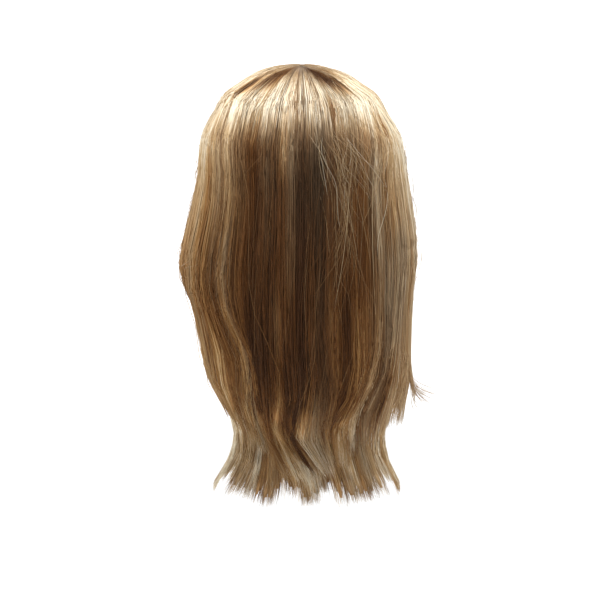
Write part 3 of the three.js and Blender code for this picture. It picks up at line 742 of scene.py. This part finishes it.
def wig_piece(mesh, node, wall=0):
    """Puts a mesh into the scene in place of a CAD node. Cloth gets its wall here, outwards."""
    piece = bpy.data.objects.new(mesh.name, mesh)
    bpy.context.collection.objects.link(piece)
    if wall:
        solidify = piece.modifiers.new("thickness", "SOLIDIFY")
        solidify.thickness, solidify.offset = wall, 1
    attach(piece, "root")
    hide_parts(node)
    print(piece.name, len(mesh.loops) - 2 * len(mesh.polygons), "triangles")


def lock_bodies(which):
    """One mesh of closed leaf-shaped slabs, a slab for each clump of a layer."""
    mesh = bmesh.new()
    uv = mesh.loops.layers.uv.new(TONE_MAP)
    start = max(which["root"], BODY_TOP)
    tips = which["clumps"]["tip"] - BODY_SHORTER * which["ragged"]
    for clump, tip in enumerate(tips):
        rows = int((tip - start) / BODY_STEP)
        grid = bmesh.ops.create_grid(mesh, x_segments=BODY_COLUMNS, y_segments=rows, size=0.5)["verts"]
        faces = list({f for v in grid for f in v.link_faces})
        top = of_kind(bmesh.ops.extrude_face_region(mesh, geom=faces)["geom"], bmesh.types.BMVert)
        bmesh.ops.translate(mesh, verts=top, vec=(0, 0, 1))
        slab = grid + top
        across, down, out = (np.array([v.co for v in slab]) * (2, 1, 1) + (0, 0.5, 0)).T
        level = start + (tip - start) * down
        index = np.full(len(slab), clump)
        leaf = across * (1 - 0.85 * down ** 12)  # it narrows only near its end
        base, points = hang(which, index, leaf, level,
                            np.where(out > 0.5, BODY_SHARE, which["clumps"]["inset"][clump]))
        pale, golden = tone(base, level, which["turn"])
        # the body is painted darker than its strands, as painted shade between them
        pale = pale + which["clumps"]["pale"][clump] - BODY_PAINTED_SHADE
        pale, golden = in_map(pale, golden + which["clumps"]["golden"][clump])
        for v, point, p, g in zip(slab, points, pale, golden):
            v.co = point
            for loop in v.link_loops:
                loop[uv].uv = (p, g)
    bmesh.ops.recalc_face_normals(mesh, faces=mesh.faces)
    print("open edges:", sum(not e.is_manifold for e in mesh.edges))
    wig_piece(finished(which["node"] + "_locks", mesh, LOCK_FINISH), which["node"])


for each in LAYERS:
    lock_bodies(each)

# %% [markdown]
# ## Strands
#
# A strand stands for a few dozen fibres that lie together. It is a thin tube with three sides that comes to
# a point. Arrays make thousands at once: numpy puts a small triangle round each point of every strand's
# path, and joins the triangles into one mesh.

# %% Strands from arrays
MAP_STEP = 0.004  # a face covers this much of the colour map, so it is never a bare line there


def strand_mesh(name, paths, radius, pale, golden):
    """A joined mesh of three-sided tubes. paths is (strands, steps, 3), and the rest (strands, steps)."""
    strands, steps = radius.shape
    run = np.gradient(paths, axis=1)
    run /= np.linalg.norm(run, axis=-1, keepdims=True)
    # away from the head's middle line, and a little upwards; the lift at the end keeps it off zero
    middle = np.array([0, -WHORL_SETBACK, 0])
    out = (paths - middle) * (1, 1, 0.2) + (0, 0, 1e-4)
    side = np.cross(run, out)
    side /= np.linalg.norm(side, axis=-1, keepdims=True)
    out = np.cross(side, run)
    corner = np.radians([90, 210, 330])  # the first corner of each triangle points outwards
    ring = (np.cos(corner)[:, None] * side[:, :, None] + np.sin(corner)[:, None] * out[:, :, None])
    points = paths[:, :, None] + radius[:, :, None, None] * ring
    first = np.arange(strands * steps).reshape(strands, steps, 1) * 3
    here, beside = first[:, :-1] + np.arange(3), first[:, :-1] + (np.arange(3) + 1) % 3
    quads = np.stack([here, beside, beside + 3, here + 3], -1).reshape(-1, 4)
    ends = np.concatenate([first[:, 0] + [2, 1, 0], first[:, -1] + [0, 1, 2]])
    loops = np.concatenate([quads.ravel(), ends.ravel()])
    sizes = np.concatenate([np.full(len(quads), 4), np.full(len(ends), 3)])
    mesh = bpy.data.meshes.new(name)
    mesh.vertices.add(strands * steps * 3)
    mesh.vertices.foreach_set("co", points.astype(np.float32).ravel())
    mesh.loops.add(len(loops))
    mesh.loops.foreach_set("vertex_index", loops.astype(np.int32))
    mesh.polygons.add(len(sizes))
    mesh.polygons.foreach_set("loop_start", (np.cumsum(sizes) - sizes).astype(np.int32))
    mesh.update(calc_edges=True)
    right_in_map = MAP_STEP * np.arange(3)
    up_in_map = MAP_STEP * (np.arange(steps) % 2)[None, :, None]
    spot = np.stack([np.repeat(pale[:, :, None], 3, 2) + right_in_map,
                     np.repeat(golden[:, :, None], 3, 2) + up_in_map], -1)
    uv = mesh.uv_layers.new(name=TONE_MAP)
    uv.data.foreach_set("uv", spot.reshape(-1, 2)[loops].astype(np.float32).ravel())
    mesh.shade_smooth()
    mesh.materials.append(STRAND_FINISH)
    return mesh


# %% [markdown]
# Most strands are combed: each follows one clump from root to tip, a little off its neighbours. They have to
# be dense and yet few enough for a piece of 200,000 triangles. Short extra strands, rooted lower, fill the
# ends of the two rows, where the locks spread and thin out.

# %% Combed strands of a layer
STEPS = 18  # points along a strand
STRAND_RADIUS = 0.3 * MM
OUTER_DEPTH, DEPTH_RANGE = 0.8, 0.24  # strands lie near the layer's outer face
WANDERING_SHARE, WANDERING_DEPTH = 0.07, 1.03  # this share of them leaves its clump, on top of the others


def combed(which, count, within, steps, root):
    """Paths, radii and tones of strands combed down a layer's clumps between two azimuths."""
    clumps = which["clumps"]
    root = which["root"] if root is None else root
    # a clump gets strands in proportion to its width and its length
    length = np.clip(clumps["tip"] - root, 0.3, None)
    chance = clumps["half"] * length * ((clumps["azimuth"] >= within[0]) & (clumps["azimuth"] < within[1]))
    clump = rng.choice(len(chance), count, p=chance / chance.sum())[:, None]

    def each(draw, *given):
        return draw(*given, (count, 1))

    # a clump's sides end higher than its middle, and the roots are scattered
    across = each(rng.uniform, -1, 1)
    ragged = which["ragged"] * (each(rng.uniform, 0, 0.07) + 0.12 * each(rng.uniform, 0, 1) ** 3) - 0.012
    tip = clumps["tip"][clump] - ragged * (0.4 + 0.6 * np.abs(across))
    spread = 0.3 * (root == 0) + 0.2 * (root > which["root"])
    root = root + 0.004 + spread * each(rng.uniform, 0, 1) ** 2
    share = np.linspace(0, 1, steps)
    level = root + (tip - root) * share
    # a few strands lie on the inner face, and some leave their clump
    depth = OUTER_DEPTH + DEPTH_RANGE * each(rng.uniform, 0, 1) ** 0.6
    inside = each(rng.uniform, 0, 1) < which["inner_share"]
    depth = np.where(inside, 0.03 + 0.1 * depth, depth)
    loose = each(rng.gamma, 1.3, 0.5)
    waves = each(rng.uniform, 5, 10) * level + each(rng.uniform, 0, 2 * np.pi)
    sway = 0.1 * loose * np.sin(waves) * smooth(level)
    rise = 0.04 * loose * np.sin(8 * level + each(rng.uniform, 0, 2 * np.pi)) * smooth(level)
    wander = (each(rng.uniform, 0, 1) < WANDERING_SHARE) & ~inside
    sway = sway + wander * each(rng.normal, 0, 0.6) * smooth((level - 0.5) / 1.1)
    depth = np.where(wander, WANDERING_DEPTH, depth)
    base, paths = hang(which, clump, across, level, depth + rise, sway)
    pointed = 0.15 + 0.85 * smooth(5 * share) * smooth(11 * (1 - share))
    radius = STRAND_RADIUS * each(rng.uniform, 0.55, 1.4) * pointed * (0.6 + 0.4 * smooth(level / 0.6))
    # each strand's tone is a little off its place's, and in the gleam the pale strands gain the most
    pale, golden = tone(base + each(rng.normal, 0, 0.7), level, which["turn"])
    own_pale = each(rng.normal, 0, 0.07) * (0.5 + 0.5 * smooth(level / 0.4))
    gleam = SHINE_PALE * shine(base, level, each(rng.normal, 0, 0.035) + 0.1 * own_pale)
    low = smooth((level - 1.2) / 0.5)
    # a strand is painted darker towards its clump's sides, as painted shade in the grooves between clumps,
    # most near the ends
    pale = (pale + own_pale + clumps["pale"][clump] * (1 + 3 * low) - (0.05 + 0.15 * low) * across ** 4
            + gleam * (1 + 4 * own_pale) * smooth((pale - 0.25) / 0.3)
            - DULL_DARKER * gleam * (each(rng.uniform, 0, 1) < DULL_SHARE))
    golden = golden + clumps["golden"][clump] + each(rng.normal, 0, 0.1)
    return paths, radius, *in_map(pale, golden)


def comb(name, which, count, within=(-180, 180), steps=STEPS, root=None):
    """One piece of combed strands."""
    mesh = strand_mesh(name, *combed(which, count, within, steps, root))
    wig_piece(mesh, which["node"])


comb("crown_strands_right", CROWN, 1250, (-138, -45), 16)
comb("crown_strands_back", CROWN, 1900, (-45, 45))
comb("crown_strands_left", CROWN, 1250, (45, 138), 16)
comb("crown_strands_front", CROWN, 550, (-180, -138), 14)
comb("crown_strands_forehead", CROWN, 550, (138, 180), 14)
comb("upper_row_strands", UPPER, 850, steps=14)
comb("upper_row_ends", UPPER, 1200, steps=10, root=1.35)
comb("lower_row_strands", LOWER, 1050, steps=14)
comb("lower_row_ends", LOWER, 2050, steps=10, root=1.45)
comb("fringe_strands", FRINGE, 360, steps=10)

# %% [markdown]
# A worn wig is never quite tidy. Pale single hairs cross the dark back, most of them right of its middle,
# and a few stand off the crown in low arcs. At the right edge a wisp flicks outwards. Each is led from one
# place in the hair to another, and bows out between them. A row is a group: how many, from where, how
# scattered, how far they turn and fall, how many mm they bow off the hair and stand off it at the end, their
# radius in mm, and how pale they are.

# %% Stray hairs
STRAY_GOLDEN, STRAY_SUNK = 0.5, 0.4 * MM  # their ends lie this far below the hair's outer face
STRAYS = table(
    "count azimuth level wide tall turn fall off stand radius pale",
    (24, -17, 0.7, 6, 0.1, -15, 0.4, 1.2, 0, 0.13, 0.7),
    (20, -32, 0.7, 8, 0.12, -15, 0.36, 1.2, 0, 0.13, 0.7),
    (16, -22, 0.75, 4, 0.15, -4, 0.4, 0.8, 0, 0.16, 0.6),
    (9, -28, 0.85, 1.2, 0.05, 12, 0.5, 1, 0, 0.17, 0.68),
    (14, -26, 1.05, 5, 0.1, 12, 0.35, 1.2, 0, 0.14, 0.5),
    (12, -18, 1.0, 8, 0.2, -10, 0.3, 1.2, 0, 0.13, 0.5),
    (20, -58, 0.75, 8, 0.15, 8, 0.3, 1.2, 0, 0.14, 0.7), (3, 60, 1.25, 3, 0.02, 14, 0.06, 2, 0, 0.15, 0.7),
    (18, -85, 1.0, 6, 0.3, -3, 0.2, 4, 0, 0.19, 0.55), (30, 0, 0.35, 75, 0.15, 4, 0.35, 2.5, 0, 0.18, 0.6),
    (14, 85, 1.0, 6, 0.2, 3, 0.2, 3, 0, 0.19, 0.6), (14, 30, 1.0, 25, 0.3, 6, 0.35, 1.2, 0, 0.13, 0.45),
    (10, -10, 1.2, 15, 0.2, 8, 0.35, 1.2, 0, 0.13, 0.4),
    (8, -84, 0.08, 8, 0.03, 2, 0.65, 2.5, 0, 0.16, 0.85), (8, 84, 0.08, 8, 0.03, 2, 0.65, 2, 0, 0.16, 0.85),
    (24, -80, 1.62, 1.2, 0.01, -2, 0.1, 1, 28, 0.26, 0.62),
    (16, -68, 1.55, 6, 0.04, 3, 0.14, 1, 1, 0.22, 0.65),
)


def reach(which, azimuth, level):
    """Whether a layer's locks still reach a level: 1 above their tips, 0 below."""
    middles = which["starts"] + which["widths"] / 2
    tips = np.interp((azimuth + 180) % 360 - 180, middles, which["locks"]["tip"])
    return smooth((tips - level) / 0.15)


def on_outside(azimuth, level):
    """How far the outermost hair at a place lies off the hollow."""
    upper_row = row_share(UPPER_ROOT_LEVEL, azimuth, level) * (upper_thickness(azimuth, level) + LAYER_GAP)
    return (upper_lift(azimuth, level) + upper_row * reach(UPPER, azimuth, level)
            + crown_thickness(azimuth, level) * reach(CROWN, azimuth, level))


def strays():
    """Paths, radii and tones of the stray hairs."""
    share = np.linspace(0, 1, STEPS)
    paths, radii, pales = [], [], []
    ends = smooth(6 * (share + 0.03)) * smooth(6 * (1.03 - share))
    for count, azimuth, level, wide, tall, turn, fall, off, stand, thin, pale in zip(*STRAYS.values()):
        for _ in range(int(count)):
            bow = off * MM * rng.uniform(0.4, 1.5) * np.sin(np.pi * share ** rng.uniform(0.6, 1.6))
            bow = bow + stand * MM * rng.uniform(0.5, 1.1) * share ** 3
            down = level + tall * rng.uniform(-1, 1) + fall * rng.uniform(0.6, 1.3) * share
            curl = rng.normal(0, 2) * np.sin(np.pi * share * rng.uniform(0.5, 1.5))
            ripple = rng.normal(0, 1.3)
            curl = curl + ripple * np.sin(np.pi * (share * rng.uniform(1, 3) + rng.uniform(0, 2)))
            aside = azimuth + wide * rng.normal(0, 0.7) + turn * rng.normal(1, 0.5) * share ** 1.3 + curl
            down = np.clip(down, 0.05, 1.95)
            paths.append(hair_place(aside, down, on_outside(aside, down) + bow - STRAY_SUNK))
            pales.append(pale + rng.normal(0, 0.1))
            radii.append(thin * MM * ends)
    return np.array(paths), np.array(radii), np.repeat(np.array(pales)[:, None], STEPS, 1)


paths, radius, pale = strays()
mesh = strand_mesh("stray_hairs", paths, radius, *in_map(pale, 0 * pale + STRAY_GOLDEN))
wig_piece(mesh, CROWN["node"])

# %% [markdown]
# ## Cloth of the cap and the band
#
# The hair is sewn to a stretchy net cap, whose edge is held by a ribbed elastic band. Two wave patterns on
# the cloth's own map draw the crossing threads. The higher of the two gives colour and bump, so that the
# holes of the net lie dark and deep.

# %% Knitted cloth
MAP_DEGREES, MAP_LEVELS, MAP_BOTTOM, MAP_HEIGHT = 400, 1.3, 0.05, 0.9  # how the cloth fills its map


def edge_level(azimuth):
    """The level of the cap's edge."""
    drop = along(CAP_EDGE, "azimuth", np.abs(azimuth), "drop") * CROWN_TO_WIDEST
    dome = np.arccos(1 - np.minimum(drop, CROWN_TO_WIDEST) / CROWN_TO_WIDEST) / (np.pi / 2)
    return np.where(drop > CROWN_TO_WIDEST, 1 + (drop - CROWN_TO_WIDEST) / WIDEST_TO_TIPS, dome)


def cloth_material(name, dark, light, across, down, roughness):
    """Knitted net or ribbed elastic: threads that cross along the cloth's own map."""
    material, nodes, links, shader = new_material(name, roughness)
    uv = nodes.new("ShaderNodeUVMap")
    uv.uv_map = TONE_MAP
    threads = []
    for direction, scale in (("X", across), ("Y", down)):
        wave = nodes.new("ShaderNodeTexWave")
        wave.bands_direction = direction
        wave.inputs["Scale"].default_value = scale
        wave.inputs["Distortion"].default_value = 0.6
        links.new(uv.outputs["UV"], wave.inputs["Vector"])
        threads.append(wave.outputs["Fac"])
    highest = nodes.new("ShaderNodeMath")
    highest.operation = "MAXIMUM"
    links.new(threads[0], highest.inputs[0])
    links.new(threads[1], highest.inputs[1])
    ramp = colour_ramp(nodes, ((0.2, dark), (0.8, light)))
    links.new(highest.outputs["Value"], ramp.inputs["Fac"])
    links.new(ramp.outputs["Color"], shader.inputs["Base Color"])
    bump = nodes.new("ShaderNodeBump")
    bump.inputs["Distance"].default_value = 0.6 * MM
    links.new(highest.outputs["Value"], bump.inputs["Height"])
    links.new(bump.outputs["Normal"], shader.inputs["Normal"])
    return material


def wrap_cloth(mesh, levels_of):
    """Lays a unit shape's map out by azimuth and height, and gives both for each of its points."""
    uv = mesh.loops.layers.uv.new(TONE_MAP)
    for face in mesh.faces:
        middle = np.degrees(np.arctan2(face.calc_center_median().x, face.calc_center_median().y))
        for loop in face.loops:
            x, y, z = loop.vert.co
            turn = np.degrees(np.arctan2(x, y)) if np.hypot(x, y) > 1e-6 else middle
            turn += 360 * round((middle - turn) / 360)
            loop[uv].uv = (0.5 + turn / MAP_DEGREES, MAP_BOTTOM + MAP_HEIGHT * levels_of(z) / MAP_LEVELS)
    coords = np.array([v.co for v in mesh.verts])
    azimuth = np.degrees(np.arctan2(coords[:, 0], coords[:, 1]))
    return azimuth, coords[:, 2]


# %% [markdown]
# ## Cap
#
# The cap shows only from below and through the open front. It starts as the upper half of a sphere, whose
# rings are stretched down to the cap's edge. Solidify gives the cloth its thickness.

# %% Net cap
net = bmesh.new()
bmesh.ops.create_uvsphere(net, u_segments=72, v_segments=48, radius=1)
bmesh.ops.delete(net, geom=[v for v in net.verts if v.co.z < -1e-4], context="VERTS")
azimuth, height = wrap_cloth(net, lambda z: np.arccos(np.clip(z, 0, 1)) / (np.pi / 2))
level = np.arccos(np.clip(height, 0, 1)) / (np.pi / 2) * edge_level(azimuth)
for v, point in zip(net.verts, head_place(azimuth, level, 0)):
    v.co = point
knitted_net = cloth_material("knitted_net", dark=(0.10, 0.055, 0.03), light=(0.42, 0.29, 0.19),
                             across=60, down=34, roughness=0.9)
wig_piece(finished("net_cap", net, knitted_net), "cap", wall=CAP_WALL)

# %% [markdown]
# ## Band
#
# The elastic band runs on from the cap's edge. It is a circle, extruded three times into a strip, whose
# points are moved onto the head just below that edge.

# %% Elastic band
BAND_ROWS = 3
band = bmesh.new()
bmesh.ops.create_circle(band, segments=72, radius=1)
rim = list(band.edges)
for row in range(BAND_ROWS):
    run = bmesh.ops.extrude_edge_only(band, edges=rim)["geom"]
    bmesh.ops.translate(band, verts=of_kind(run, bmesh.types.BMVert), vec=(0, 0, 1 / BAND_ROWS))
    rim = of_kind(run, bmesh.types.BMEdge)
azimuth, height = wrap_cloth(band, lambda z: z)
along_edge = BAND_GAP + BAND_HEIGHT * height
level = edge_level(azimuth)
level = level + along_edge / np.where(level < 1, np.pi / 2 * CROWN_TO_WIDEST, WIDEST_TO_TIPS)
for v, point in zip(band.verts, head_place(azimuth, level, 0)):
    v.co = point
bmesh.ops.recalc_face_normals(band, faces=band.faces)
ribbed_elastic = cloth_material("ribbed_elastic", dark=(0.08, 0.045, 0.025), light=(0.3, 0.2, 0.13),
                                across=90, down=8, roughness=0.8)
wig_piece(finished("elastic_band", band, ribbed_elastic), "edge_band", wall=BAND_WALL)
